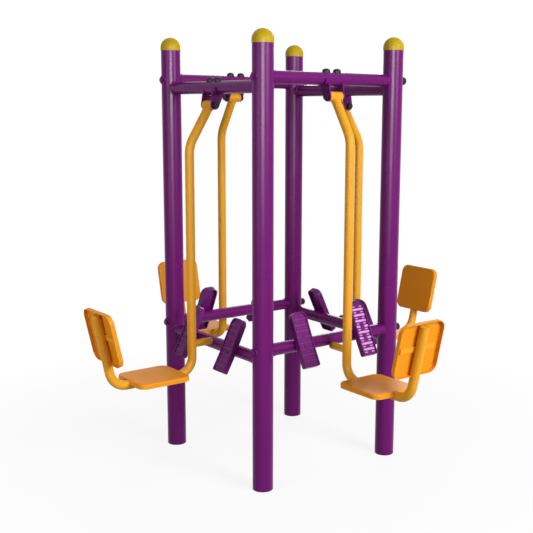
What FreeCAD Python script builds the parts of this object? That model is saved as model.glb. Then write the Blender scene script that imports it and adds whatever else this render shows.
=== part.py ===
import FreeCAD, Part
import math
import os
import types

import Sketcher

# Outdoor leg press: four hanging seats round one square frame of four posts.
# Millimetres, +Z up. The origin is in the middle of the four post feet, on the ground line.
# X runs from the front post to the right post, and Y from the front post to the left post.
# Each side of the square is a station: a top beam that carries a hanging seat, and a lower beam
# with two foot pedals. The sitter pushes on the pedals and swings outward with the seat.

# Driving sizes: each name is an alias in the sheet
SIZES = {
    # Posts and their caps
    "post_spacing": 920,
    "post_diameter": 114,
    "post_wall": 3,
    "post_length": 2425,
    "cap_wall": 2,
    "cap_skirt": 17,
    "cap_dome": 56,
    # Beams, with a coped collar on each end
    "beam_diameter": 70,
    "beam_wall": 3,
    "top_beam_height": 2190,
    "lower_beam_height": 736,
    "beam_stagger": 48,
    "collar_diameter": 76,
    "collar_web": 10,
    # Bolts that hold the raised beams to the posts
    "beam_bolt_diameter": 16,
    "beam_bolt_head_width": 26,
    "beam_bolt_head_height": 10,
    "beam_bolt_thread": 20,
    "washer_diameter": 50,
    "washer_thickness": 5,
    "beam_nut_diameter": 46,
    "beam_nut_body": 18,
    "beam_nut_crown": 18,
    # Hanger under the top beam
    "hanger_length": 144,
    "hanger_wall": 8,
    "cheek_thickness": 10,
    "cheek_end_radius": 26,
    "cheek_shoulder": 20,
    "pivot_drop": 95,
    "pivot_offset": 27,
    "hanger_stud_spacing": 76,
    "hanger_stud_diameter": 14,
    "hanger_stud_thread": 10,
    "hanger_nut_diameter": 44,
    "hanger_nut_body": 6,
    "hanger_nut_crown": 14,
    # Pivot: bolt, spacer and two ball bearings
    "pivot_bolt_diameter": 20,
    "pivot_head_width": 34,
    "pivot_head_height": 13,
    "pivot_nut_height": 16,
    "bearing_outer_diameter": 47,
    "bearing_width": 14,
    "bearing_ring": 3.5,
    "bearing_shield": 0.8,
    "bearing_shoulder": 1,
    "ball_diameter": 7.9,
    "spacer_wall": 3,
    # Swing arm
    "sleeve_length": 84,
    "sleeve_wall": 3.5,
    "arm_diameter": 51,
    "arm_wall": 3,
    "arm_slant": 31.7,
    "arm_reach": 137,
    "arm_kink_radius": 160,
    "seat_tube_height": 590,
    "front_bend_radius": 90,
    "back_bend_radius": 100,
    "back_recline": 12.5,
    "strap_width": 30,
    "strap_thickness": 8,
    "strap_length": 240,
    "seat_strap_inset": 70,
    "stop_height": 756,
    "stop_diameter": 42,
    "stop_wall": 3,
    "bumper_diameter": 42,
    "bumper_length": 22,
    "bumper_spigot_diameter": 12,
    "bumper_spigot_length": 10,
    # Seat pan and backrest pan
    "pan_sheet": 3,
    "pan_rim": 27,
    "pan_corner": 48,
    "pan_edge": 7,
    "seat_pan_width": 300,
    "seat_pan_depth": 316,
    "seat_front_gap": 2,
    "seat_back_gap": 11,
    "backrest_width": 306,
    "backrest_height": 296,
    "backrest_under_gap": 60,
    "back_tube_drop": 16,
    # Foot pedals
    "pedal_length": 316,
    "pedal_width": 104,
    "pedal_depth": 34,
    "pedal_wall": 6,
    "pedal_recess": 8,
    "pedal_plate": 6,
    "pedal_heel": 110,
    "pedal_heel_bend": 3,
    "pedal_tilt": 25.5,
    "pedal_spacing": 430,
    "pedal_stand_off": 57,
    "pedal_rise": 12,
    "pedal_top_corner": 36,
    "pedal_heel_corner": 12,
    "pedal_rib_width": 9,
    "pedal_rib_height": 4,
    "pedal_rib_pitch": 34,
    "pedal_pad_height": 90,
    "pedal_pad_width": 60,
    "pedal_pad_thickness": 8,
    "pedal_neck_height": 40,
    "pedal_neck_width": 44,
    "pedal_bolt_diameter": 10,
    "pedal_bolt_spacing": 60,
    "pedal_bolt_head_diameter": 18,
    "pedal_bolt_head_height": 5,
    # Clearances
    "bolt_play": 0.5,
    "seat_gap": 0.1,
    "ball_gap": 0.05,
    "shield_gap": 0.3,
    "stop_gap": 0.3,
}

# Stations in order round the frame: the first faces +X, and each next one is a quarter turn on about Z
STATIONS = ("back_right", "back_left", "front_left", "front_right")
# The sides whose beams are bolted on, one stagger above the other two, whose beams are welded
RAISED = ("back_left", "front_right")

# Repeats
BALL_COUNT = 8
PEDAL_RIB_COUNT = 8

# Post corners, as signs of X and Y
CORNERS = {"front": (-1, -1), "right": (1, -1), "back": (1, 1), "left": (-1, 1)}

# Lengths nearer than this count as equal, and directions whose cosine is nearer to one as parallel
TINY = 1e-6

X_AXIS = FreeCAD.Vector(1, 0, 0)
Y_AXIS = FreeCAD.Vector(0, 1, 0)
Z_AXIS = FreeCAD.Vector(0, 0, 1)
LYING = {
    "x": FreeCAD.Rotation(Y_AXIS, 90),
    "y": FreeCAD.Rotation(X_AXIS, -90),
    "z": FreeCAD.Rotation(),
}

doc = FreeCAD.newDocument("leg_press")
sheet = doc.addObject("Spreadsheet::Sheet", "sizes")
for row, (alias, number) in enumerate(SIZES.items(), start=1):
    sheet.set(f"A{row}", alias.replace("_", " "))
    sheet.set(f"B{row}", str(number))
    sheet.setAlias(f"B{row}", alias)
doc.recompute()


class Measure:
    """A size that carries its number and the sheet formula that the number comes from."""

    def __init__(self, value, text):
        self.value = value
        self.text = text

    def __add__(self, other):
        other = measure(other)
        return Measure(self.value + other.value, f"({self.text} + {other.text})")

    def __sub__(self, other):
        other = measure(other)
        return Measure(self.value - other.value, f"({self.text} - {other.text})")

    def __mul__(self, other):
        other = measure(other)
        return Measure(self.value * other.value, f"({self.text} * {other.text})")

    def __truediv__(self, other):
        other = measure(other)
        return Measure(self.value / other.value, f"({self.text} / {other.text})")

    def __neg__(self):
        return Measure(-self.value, f"(-{self.text})")

    __radd__ = __add__
    __rmul__ = __mul__

    def __rsub__(self, other):
        return measure(other) - self


def measure(number):
    """A plain number as a Measure; a Measure stays as it is."""
    return number if isinstance(number, Measure) else Measure(number, repr(number))


def sine(angle):
    return Measure(math.sin(math.radians(angle.value)), f"sin({angle.text})")


def cosine(angle):
    return Measure(math.cos(math.radians(angle.value)), f"cos({angle.text})")


def tangent(angle):
    return Measure(math.tan(math.radians(angle.value)), f"tan({angle.text})")


size = types.SimpleNamespace(**{name: Measure(value, f"sizes.{name}") for name, value in SIZES.items()})


# Small makers of bound shapes
def bind(item, **properties):
    """Ties each named property to the sheet formula of its measure."""
    for name, value in properties.items():
        item.setExpression(name, measure(value).text)


def move(item, at):
    """Ties the item's place to three measures, and leaves its turn as it is."""
    for axis, value in zip("xyz", at):
        if measure(value).value != 0:
            item.setExpression(f"Placement.Base.{axis}", measure(value).text)
    return item


def tilt(item, axis, angle):
    """Turns the item about an axis through its own origin, by an angle tied to the sheet."""
    item.Placement.Rotation = FreeCAD.Rotation(axis, angle.value)
    item.setExpression("Placement.Rotation.Angle", angle.text)
    return item


def cylinder(label, radius, height, at=(0, 0, 0), along="z"):
    item = doc.addObject("Part::Cylinder", label)
    bind(item, Radius=radius, Height=height)
    item.Placement.Rotation = LYING[along]
    return move(item, at)


def box(label, length, width, height, at):
    item = doc.addObject("Part::Box", label)
    bind(item, Length=length, Width=width, Height=height)
    return move(item, at)


def hexagon(label, across_flats, height, at):
    """A hexagonal prism along +Z, given by its width across flats."""
    item = doc.addObject("Part::Prism", label)
    item.Polygon = 6
    bind(item, Circumradius=across_flats / cosine(measure(30)) / 2, Height=height)
    return move(item, at)


def dome(label, radius, height, at):
    """The upper half of an ellipsoid, standing on its own place."""
    item = doc.addObject("Part::Ellipsoid", label)
    bind(item, Radius1=height, Radius2=radius, Radius3=radius)
    item.Angle1 = 0
    item.Angle2 = 90
    return move(item, at)


def fuse(label, items):
    item = doc.addObject("Part::MultiFuse", label)
    item.Shapes = items
    item.Refine = True
    return item


def cut(label, base, tools):
    item = doc.addObject("Part::Cut", label)
    item.Base = base
    item.Tool = tools[0] if len(tools) == 1 else fuse(label + "_tools", tools)
    item.Refine = True
    return item


def group(label, items):
    item = doc.addObject("Part::Compound", label)
    item.Links = items
    return item


# Finished pieces: each is a pattern piece put in its place, or repeated at several places
NODES = []


def place(label, pattern, at, rotation=FreeCAD.Rotation()):
    """The pattern piece as one finished piece of the object."""
    item = group(label, [pattern])
    item.Label = label
    item.Placement.Rotation = rotation
    NODES.append(move(item, at))


def repeat(label, pattern, spots):
    """One kind of small part at each spot: a place of three measures and a rotation."""
    links = []
    for number, (at, rotation) in enumerate(spots, start=1):
        link = doc.addObject("App::Link", f"{label}_{number}")
        link.LinkedObject = pattern
        link.Placement.Rotation = rotation
        links.append(move(link, at))
    item = group(label, links)
    item.Label = label
    NODES.append(item)


def facing(station):
    """The turn about Z from +X to the way that the station faces."""
    return FreeCAD.Rotation(Z_AXIS, 90 * STATIONS.index(station))


def turned(out, side, station):
    """X and Y of a point given outward from the frame's middle and along the station's beam."""
    out, side = measure(out), measure(side)
    return ((out, side), (-side, out), (-out, -side), (side, -out))[STATIONS.index(station)]


# Sketches and features of bodies
def new_sketch(body, name, role):
    sketch = body.newObject("Sketcher::SketchObject", name)
    plane = next(feature for feature in body.Origin.OriginFeatures if feature.Role == role)
    sketch.AttachmentSupport = [(plane, "")]
    sketch.MapMode = "FlatFace"
    return sketch


def hold_point(sketch, geometry, end, x, y):
    """Dimensions a point from the sketch's origin in both directions, tied to the sheet."""
    for kind, value, axis in (("DistanceX", measure(x), -2), ("DistanceY", measure(y), -1)):
        if abs(value.value) < TINY:
            sketch.addConstraint(Sketcher.Constraint("PointOnObject", geometry, end, axis))
        elif value.value > 0:
            index = sketch.addConstraint(Sketcher.Constraint(kind, -1, 1, geometry, end, value.value))
            sketch.setExpression(f"Constraints[{index}]", value.text)
        else:
            index = sketch.addConstraint(Sketcher.Constraint(kind, geometry, end, -1, 1, -value.value))
            sketch.setExpression(f"Constraints[{index}]", (-value).text)


def hold_radius(sketch, geometry, radius):
    index = sketch.addConstraint(Sketcher.Constraint("Radius", geometry, radius.value))
    sketch.setExpression(f"Constraints[{index}]", radius.text)


def flat_point(x, y):
    return FreeCAD.Vector(measure(x).value, measure(y).value, 0)


def draw_outline(sketch, points):
    """A closed outline of straight lines through the points, each point held by two dimensions."""
    count = len(points)
    for number in range(count):
        start, end = points[number], points[(number + 1) % count]
        sketch.addGeometry(Part.LineSegment(flat_point(*start), flat_point(*end)), False)
    for number in range(count):
        sketch.addConstraint(Sketcher.Constraint("Coincident", number, 2, (number + 1) % count, 1))
    for number, point in enumerate(points):
        hold_point(sketch, number, 1, *point)


def draw_rectangle(sketch, half_x, half_y):
    draw_outline(sketch, [(-half_x, -half_y), (half_x, -half_y), (half_x, half_y), (-half_x, half_y)])


def extrude(body, kind, name, sketch, length, midplane=True):
    """A pad or a pocket of the sketch: both ways from its plane, or downward from it."""
    feature = body.newObject(kind, name)
    feature.Profile = sketch
    feature.Midplane = midplane
    feature.Reversed = not midplane
    bind(feature, Length=length)
    doc.recompute()


def round_edges(body, name, chosen, radius):
    """Rounds the edges of the body so far that the chosen function picks."""
    base = body.Tip
    edges = [f"Edge{number}" for number, edge in enumerate(base.Shape.Edges, start=1) if chosen(edge)]
    feature = body.newObject("PartDesign::Fillet", name)
    feature.Base = (base, edges)
    bind(feature, Radius=radius)
    doc.recompute()


def runs_along(edge, axis):
    straight = edge.Curve.TypeId == "Part::GeomLine"
    return straight and abs(edge.tangentAt(edge.FirstParameter).dot(axis)) > 1 - TINY


# Sizes worked out from the sheet
half_spacing = size.post_spacing / 2
post_radius = size.post_diameter / 2
beam_radius = size.beam_diameter / 2
arm_radius = size.arm_diameter / 2
collar_back = post_radius + size.seat_gap + size.collar_web
beam_length = size.post_spacing - collar_back * 2
bolt_hole_radius = size.beam_bolt_diameter / 2 + size.bolt_play
cradle_radius = beam_radius + size.seat_gap + size.hanger_wall
cheek_inner = size.sleeve_length / 2 + size.bearing_shoulder
cheek_middle = cheek_inner + size.cheek_thickness / 2
stud_side = size.hanger_stud_spacing / 2
stud_radius = size.hanger_stud_diameter / 2
pivot_out = half_spacing + size.pivot_offset
pedal_side = size.pedal_spacing / 2
pedal_half = size.pedal_length / 2
pedal_back = size.pedal_stand_off - size.pedal_depth / 2
pad_back = pedal_back - size.pedal_pad_thickness
pedal_bolt_radius = size.pedal_bolt_diameter / 2
bumper_face = beam_radius + size.stop_gap - size.pivot_offset
stop_end = bumper_face + size.bumper_length
back_run = size.back_bend_radius * tangent((90 - size.back_recline) / 2)
seat_front = size.arm_reach + size.front_bend_radius + size.seat_front_gap
seat_middle = seat_front + size.seat_pan_depth / 2
back_corner = seat_front + size.seat_pan_depth + size.seat_back_gap + back_run
backrest_middle = back_run + size.backrest_under_gap + size.backrest_height / 2
back_tube_length = backrest_middle + size.backrest_height / 2 - size.back_tube_drop
stop_rise = size.stop_height - size.seat_tube_height


def lift(station):
    return size.beam_stagger if station in RAISED else measure(0)


def top_height(station):
    return size.top_beam_height + lift(station)


def lower_height(station):
    return size.lower_beam_height + lift(station)


def pivot_height(station):
    return top_height(station) - size.pivot_drop


# Post: a plain tube, bored right through at the two heights of the raised beams
def make_post():
    outside = cylinder("post_outside", post_radius, size.post_length)
    bores = [cylinder("post_inside", post_radius - size.post_wall, size.post_length)]
    for level, height in (("top", size.top_beam_height), ("lower", size.lower_beam_height)):
        bores.append(cylinder(f"post_{level}_bolt_way", bolt_hole_radius, size.post_diameter,
                              (-post_radius, 0, height + size.beam_stagger), "x"))
    return cut("post", outside, bores)


# Post cap: a moulded dome that slips over the tube and sits on its end
def make_cap():
    inner = post_radius + size.seat_gap
    outer = inner + size.cap_wall
    below = (0, 0, -size.cap_skirt)
    skirt = cylinder("cap_skirt_outside", outer, size.cap_skirt, below)
    crown = dome("cap_crown", outer, size.cap_dome, (0, 0, 0))
    socket = cylinder("cap_socket", inner, size.cap_skirt, below)
    hollow = dome("cap_hollow", post_radius - size.post_wall, size.cap_dome - size.cap_wall, (0, 0, 0))
    return cut("cap", fuse("cap_outside", [skirt, crown]), [socket, hollow])


# Beams: a tube along Y between two collars hollowed to the posts, made about its middle with +X outward
def beam_pieces(label, bolted):
    """What a beam is welded from, and what is bored out of it."""
    start = (0, -beam_length / 2, 0)
    solids = [cylinder(label + "_tube", beam_radius, beam_length, start, "y")]
    tools = [cylinder(label + "_bore", beam_radius - size.beam_wall, beam_length, start, "y")]
    if bolted:
        way = cylinder(label + "_bolt_way", bolt_hole_radius, size.post_spacing, (0, -half_spacing, 0), "y")
        tools.append(way)
    for end, sign, low in (("a", 1, half_spacing - collar_back), ("b", -1, -half_spacing)):
        solids.append(cylinder(f"{label}_collar_{end}", size.collar_diameter / 2, collar_back, (0, low, 0), "y"))
        tools.append(cylinder(f"{label}_post_{end}", post_radius + size.seat_gap, size.collar_diameter,
                              (0, half_spacing * sign, -size.collar_diameter / 2)))
    return solids, tools


def make_top_beam(label, bolted):
    solids, tools = beam_pieces(label, bolted)
    for end, sign in (("a", 1), ("b", -1)):
        tools.append(cylinder(f"{label}_stud_way_{end}", stud_radius + size.bolt_play, size.beam_diameter,
                              (0, stud_side * sign, -beam_radius)))
    return cut(label, fuse(label + "_weldment", solids), tools)


# The pedals stand on the lower beam along a line tilted up from the outward direction
def pedal_spot(along_normal, up_face, side):
    """A point given along the pedal's normal from the beam's axis, up its face, and along the beam."""
    lean = size.pedal_tilt
    x = along_normal * cosine(lean) - up_face * sine(lean)
    z = along_normal * sine(lean) + up_face * cosine(lean)
    return x, side, z


def tilted_box(label, near, far, height, width, side):
    """A block along the pedal's normal, from near to far of the beam's axis."""
    x, _, z = pedal_spot(near, -height / 2, side)
    block = box(label, far - near, width, height, (x, side - width / 2, z))
    return tilt(block, -Y_AXIS, size.pedal_tilt)


def make_lower_beam(label, bolted):
    solids, tools = beam_pieces(label, bolted)
    inside = beam_radius - size.beam_wall * 2
    for end, sign in (("a", 1), ("b", -1)):
        side = pedal_side * sign
        solids.append(tilted_box(f"{label}_pad_{end}", pad_back, pedal_back,
                                 size.pedal_pad_height, size.pedal_pad_width, side))
        solids.append(tilted_box(f"{label}_neck_{end}", inside, pad_back,
                                 size.pedal_neck_height, size.pedal_neck_width, side))
        for name, up in (("upper", 1), ("under", -1)):
            thread = cylinder(f"{label}_thread_{end}_{name}", pedal_bolt_radius + size.seat_gap,
                              size.pedal_pad_thickness,
                              pedal_spot(pad_back, size.pedal_bolt_spacing / 2 * up, side))
            tools.append(tilt(thread, Y_AXIS, 90 - size.pedal_tilt))
    return cut(label, fuse(label + "_weldment", solids), tools)


# Beam bolts: through a raised beam's collar and both walls of the post, with either the head or the dome nut
# captive in the beam's end. The nuts show on the posts at +X and the heads on those at -X.
def make_beam_fasteners():
    """Made with the post's axis along Y through the origin, and the bolt along +Z, with the nut outside."""
    reach = post_radius + size.washer_thickness
    head = hexagon("beam_bolt_head", size.beam_bolt_head_width, size.beam_bolt_head_height,
                   (0, 0, -collar_back - size.beam_bolt_head_height))
    shank = cylinder("beam_bolt_shank", size.beam_bolt_diameter / 2,
                     collar_back + reach + size.beam_bolt_thread, (0, 0, -collar_back))
    bolt = fuse("beam_bolt", [head, shank])

    disc = cylinder("washer_disc", size.washer_diameter / 2, reach)
    tube = cylinder("washer_post", post_radius + size.seat_gap, size.post_diameter, (0, -post_radius, 0), "y")
    eye = cylinder("washer_eye", bolt_hole_radius, reach)
    washer = cut("washer", disc, [tube, eye])

    nut_radius = size.beam_nut_diameter / 2
    blank = [cylinder("beam_nut_body", nut_radius, size.beam_nut_body, (0, 0, reach)),
             dome("beam_nut_crown", nut_radius, size.beam_nut_crown, (0, 0, reach + size.beam_nut_body))]
    thread = cylinder("beam_nut_thread", size.beam_bolt_diameter / 2 + size.seat_gap,
                      size.beam_bolt_thread + size.seat_gap, (0, 0, reach))
    nut = cut("beam_nut", fuse("beam_nut_blank", blank), [thread])

    bolt_spots, washer_spots = [], []
    for station in RAISED:
        for height in (top_height(station), lower_height(station)):
            for sign in (1, -1):
                along_beam = facing(station).multVec(Y_AXIS * sign)
                way = FreeCAD.Rotation(along_beam.cross(Z_AXIS), Z_AXIS, along_beam, "ZYX")
                washer_spots.append(((*turned(half_spacing, half_spacing * sign, station), height), way))
                along = half_spacing
                if along_beam.x < 0:
                    along = half_spacing + reach - collar_back
                    way = way.multiply(FreeCAD.Rotation(Y_AXIS, 180))
                bolt_spots.append(((*turned(half_spacing, along * sign, station), height), way))
    repeat("beam_bolts", bolt, bolt_spots)
    repeat("beam_saddle_washers", washer, washer_spots)
    repeat("beam_dome_nuts", nut, bolt_spots)


# Hanger: a cradle that hugs the lower half of the top beam, with two cheeks that hold the pivot bolt
def make_cheek(label, side):
    """A plate that leaves the cradle at its shoulders, drawn in to a round end about the pivot."""
    body = doc.addObject("PartDesign::Body", label)
    sketch = new_sketch(body, label + "_outline", "XZ_Plane")
    end = size.cheek_end_radius
    half_width = cradle_radius * cosine(size.cheek_shoulder)
    shoulder = -cradle_radius * sine(size.cheek_shoulder)
    pivot = flat_point(size.pivot_offset, -size.pivot_drop)
    corners = [flat_point(-half_width, shoulder), flat_point(half_width, shoulder)]
    touches = []
    for corner, sign in zip(corners, (1, -1)):
        way = corner - pivot
        bearing = math.atan2(way.y, way.x) + sign * math.acos(end.value / way.Length)
        touches.append(pivot + FreeCAD.Vector(math.cos(bearing), math.sin(bearing), 0) * end.value)
    tip = pivot - FreeCAD.Vector(0, end.value, 0)
    sketch.addGeometry(Part.LineSegment(corners[0], corners[1]), False)
    sketch.addGeometry(Part.LineSegment(corners[1], touches[1]), False)
    sketch.addGeometry(Part.Arc(touches[0], tip, touches[1]), False)
    sketch.addGeometry(Part.LineSegment(touches[0], corners[0]), False)
    sketch.addConstraint(Sketcher.Constraint("Coincident", 0, 2, 1, 1))
    sketch.addConstraint(Sketcher.Constraint("Coincident", 3, 2, 0, 1))
    sketch.addConstraint(Sketcher.Constraint("Tangent", 1, 2, 2, 2))
    sketch.addConstraint(Sketcher.Constraint("Tangent", 3, 1, 2, 1))
    hold_point(sketch, 0, 1, -half_width, shoulder)
    hold_point(sketch, 0, 2, half_width, shoulder)
    hold_point(sketch, 2, 3, size.pivot_offset, -size.pivot_drop)
    hold_radius(sketch, 2, end)
    extrude(body, "PartDesign::Pad", label + "_plate", sketch, size.cheek_thickness)
    return move(body, (0, side, 0))


def make_hanger():
    """Made about the top beam's middle."""
    start = (0, -size.hanger_length / 2, 0)
    round_bar = cylinder("hanger_round", cradle_radius, size.hanger_length, start, "y")
    upper = box("hanger_upper_half", cradle_radius * 2, size.hanger_length, cradle_radius,
                (-cradle_radius, -size.hanger_length / 2, 0))
    solids = [cut("hanger_cradle", round_bar, [upper]),
              make_cheek("hanger_cheek_a", cheek_middle), make_cheek("hanger_cheek_b", -cheek_middle)]
    tools = [cylinder("hanger_beam_way", beam_radius + size.seat_gap, size.hanger_length, start, "y"),
             cylinder("hanger_pivot_way", size.pivot_bolt_diameter / 2 + size.seat_gap, size.hanger_length,
                      (size.pivot_offset, -size.hanger_length / 2, -size.pivot_drop), "y")]
    for end, sign in (("a", 1), ("b", -1)):
        tools.append(cylinder(f"hanger_stud_way_{end}", stud_radius + size.seat_gap, cradle_radius,
                              (0, stud_side * sign, -cradle_radius)))
    return cut("hanger", fuse("hanger_weldment", solids), tools)


# Hanger studs stand in the cradle and pass up through the beam to dome nuts shaped to its top
def make_hanger_fasteners():
    nut_shoulder = beam_radius + size.hanger_nut_body
    nut_radius = size.hanger_nut_diameter / 2
    stud = cylinder("hanger_stud", stud_radius, cradle_radius + beam_radius + size.hanger_stud_thread,
                    (0, 0, -cradle_radius))
    blank = [cylinder("hanger_nut_body", nut_radius, nut_shoulder),
             dome("hanger_nut_crown", nut_radius, size.hanger_nut_crown, (0, 0, nut_shoulder))]
    tools = [cylinder("hanger_nut_beam", beam_radius + size.seat_gap, size.beam_diameter,
                      (0, -beam_radius, 0), "y"),
             cylinder("hanger_nut_thread", stud_radius + size.seat_gap,
                      beam_radius + size.hanger_stud_thread + size.seat_gap)]
    nut = cut("hanger_nut", fuse("hanger_nut_blank", blank), tools)
    spots = []
    for station in STATIONS:
        for sign in (1, -1):
            at = (*turned(half_spacing, stud_side * sign, station), top_height(station))
            spots.append((at, facing(station)))
    repeat("hanger_studs", group("hanger_stud_blank", [stud]), spots)
    repeat("hanger_dome_nuts", nut, spots)


# Pivot: bolt and nut through the cheeks, two ball bearings in the sleeve, and a spacer between them
bearing_middle = (size.sleeve_length - size.bearing_width) / 2
pivot_bore = size.pivot_bolt_diameter / 2 + size.seat_gap / 2
inner_ring_radius = pivot_bore + size.bearing_ring
outer_ring_room = size.bearing_outer_diameter / 2 - size.bearing_ring
ball_circle = (inner_ring_radius + outer_ring_room) / 2
ball_radius = size.ball_diameter / 2


def pivot_spots():
    """The four pivot middles, with +Z turned along the beam."""
    spots = []
    for station in STATIONS:
        at = (*turned(pivot_out, 0, station), pivot_height(station))
        spots.append((at, facing(station).multiply(LYING["y"])))
    return spots


def make_pivot_fasteners():
    outer_face = cheek_inner + size.cheek_thickness
    shank = cylinder("pivot_shank", size.pivot_bolt_diameter / 2, outer_face * 2 + size.pivot_nut_height,
                     (0, 0, -outer_face))
    head = hexagon("pivot_head", size.pivot_head_width, size.pivot_head_height,
                   (0, 0, -outer_face - size.pivot_head_height))
    repeat("pivot_bolts", fuse("pivot_bolt", [shank, head]), pivot_spots())

    flats = hexagon("pivot_nut_flats", size.pivot_head_width, size.pivot_nut_height, (0, 0, outer_face))
    thread = cylinder("pivot_nut_thread", pivot_bore, size.pivot_nut_height, (0, 0, outer_face))
    repeat("pivot_nuts", cut("pivot_nut", flats, [thread]), pivot_spots())

    length = size.sleeve_length - size.bearing_width * 2
    outside = cylinder("spacer_outside", pivot_bore + size.spacer_wall, length, (0, 0, -length / 2))
    inside = cylinder("spacer_inside", pivot_bore, length, (0, 0, -length / 2))
    repeat("pivot_spacers", cut("spacer", outside, [inside]), pivot_spots())


def make_race(label, middle):
    """The ring-shaped room that the balls run in."""
    item = doc.addObject("Part::Torus", label)
    bind(item, Radius1=ball_circle, Radius2=ball_radius + size.ball_gap)
    return move(item, (0, 0, middle))


def make_inner_rings():
    """The two inner rings, each with a shoulder that the cheek clamps."""
    rings = []
    width = size.bearing_width + size.bearing_shoulder
    for end, sign in (("a", 1), ("b", -1)):
        low = bearing_middle - size.bearing_width / 2 if sign > 0 else -cheek_inner
        outside = cylinder(f"inner_ring_{end}_outside", inner_ring_radius, width, (0, 0, low))
        inside = cylinder(f"inner_ring_{end}_inside", pivot_bore, width, (0, 0, low))
        groove = make_race(f"inner_ring_{end}_groove", bearing_middle * sign)
        rings.append(cut(f"inner_ring_{end}", outside, [inside, groove]))
    return group("inner_ring_pair", rings)


def make_outer_rings():
    """The two outer rings with their shields and balls."""
    pieces = []
    for end, sign in (("a", 1), ("b", -1)):
        middle = bearing_middle * sign
        low = middle - size.bearing_width / 2
        outside = cylinder(f"outer_ring_{end}_outside", size.bearing_outer_diameter / 2 - size.seat_gap / 2,
                           size.bearing_width, (0, 0, low))
        eye = cylinder(f"outer_ring_{end}_eye", inner_ring_radius + size.shield_gap, size.bearing_width,
                       (0, 0, low))
        room = cylinder(f"outer_ring_{end}_room", outer_ring_room,
                        size.bearing_width - size.bearing_shield * 2, (0, 0, low + size.bearing_shield))
        groove = make_race(f"outer_ring_{end}_groove", middle)
        pieces.append(cut(f"outer_ring_{end}", outside, [eye, room, groove]))
        for number in range(BALL_COUNT):
            turn = 2 * math.pi * number / BALL_COUNT
            ball = doc.addObject("Part::Sphere", f"ball_{end}_{number + 1}")
            bind(ball, Radius=ball_radius)
            pieces.append(move(ball, (ball_circle * math.cos(turn), ball_circle * math.sin(turn), middle)))
    return group("bearing_outer_set", pieces)


# Swing arm and all that it carries: made with the pivot's line at x = 0 and the seat tube's axis at z = 0
def back_spot(along, forward):
    """X and Z of a point a way up the back tube's line, and a way forward of it."""
    recline = size.back_recline
    x = back_corner + along * sine(recline) - forward * cosine(recline)
    z = along * cosine(recline) + forward * sine(recline)
    return x, z


def arm_points(drop):
    """Ends of the arm's four straight lengths, from the pivot down and round to the top of the back."""
    slant = size.arm_slant
    kink_run = size.arm_kink_radius * tangent(slant / 2)
    kink_height = drop - size.arm_reach / tangent(slant)
    return [
        (measure(0), drop),
        (size.arm_reach - kink_run * sine(slant), kink_height + kink_run * cosine(slant)),
        (size.arm_reach, kink_height - kink_run),
        (size.arm_reach, size.front_bend_radius),
        (size.arm_reach + size.front_bend_radius, measure(0)),
        (back_corner - back_run, measure(0)),
        back_spot(back_run, 0),
        back_spot(back_tube_length, 0),
    ]


def arm_path(label, drop):
    """The arm tube's centre line: four straight lengths joined by three bends."""
    path = doc.addObject("Sketcher::SketchObject", label)
    path.Placement.Rotation = FreeCAD.Rotation(X_AXIS, 90)
    points = arm_points(drop)
    spots = [flat_point(*point) for point in points]
    bends = [(size.arm_kink_radius, size.arm_slant, 1), (size.front_bend_radius, measure(90), -1),
             (size.back_bend_radius, 90 - size.back_recline, -1)]
    for number in range(7):
        start, end = spots[number], spots[number + 1]
        if number % 2 == 0:
            path.addGeometry(Part.LineSegment(start, end), False)
            continue
        radius, turn, side = bends[number // 2]
        chord = end - start
        outward = FreeCAD.Vector(-chord.y, chord.x, 0).normalize() * side
        sagitta = radius.value * (1 - math.cos(math.radians(turn.value) / 2))
        path.addGeometry(Part.Arc(start, (start + end) / 2 + outward * sagitta, end), False)
    for arc in (1, 3, 5):
        meets = path.getPoint(arc, 1).distanceToPoint(path.getPoint(arc - 1, 2)) < TINY
        first, last = (1, 2) if meets else (2, 1)
        path.addConstraint(Sketcher.Constraint("Coincident", arc - 1, 2, arc, first))
        path.addConstraint(Sketcher.Constraint("Coincident", arc + 1, 1, arc, last))
        hold_radius(path, arc, bends[arc // 2][0])
    for line in (0, 2, 4, 6):
        hold_point(path, line, 1, *points[line])
        hold_point(path, line, 2, *points[line + 1])
    return path


def sweep_along(label, path, radius, drop):
    """A round bar along the path."""
    ring = doc.addObject("Part::Circle", label + "_section")
    bind(ring, Radius=radius)
    tilt(ring, -Y_AXIS, size.arm_slant)
    move(ring, (0, 0, drop))
    bar = doc.addObject("Part::Sweep", label)
    bar.Sections = [ring]
    bar.Spine = (path, [f"Edge{number}" for number in range(1, 8)])
    bar.Solid = True
    bar.Frenet = False
    return bar


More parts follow.
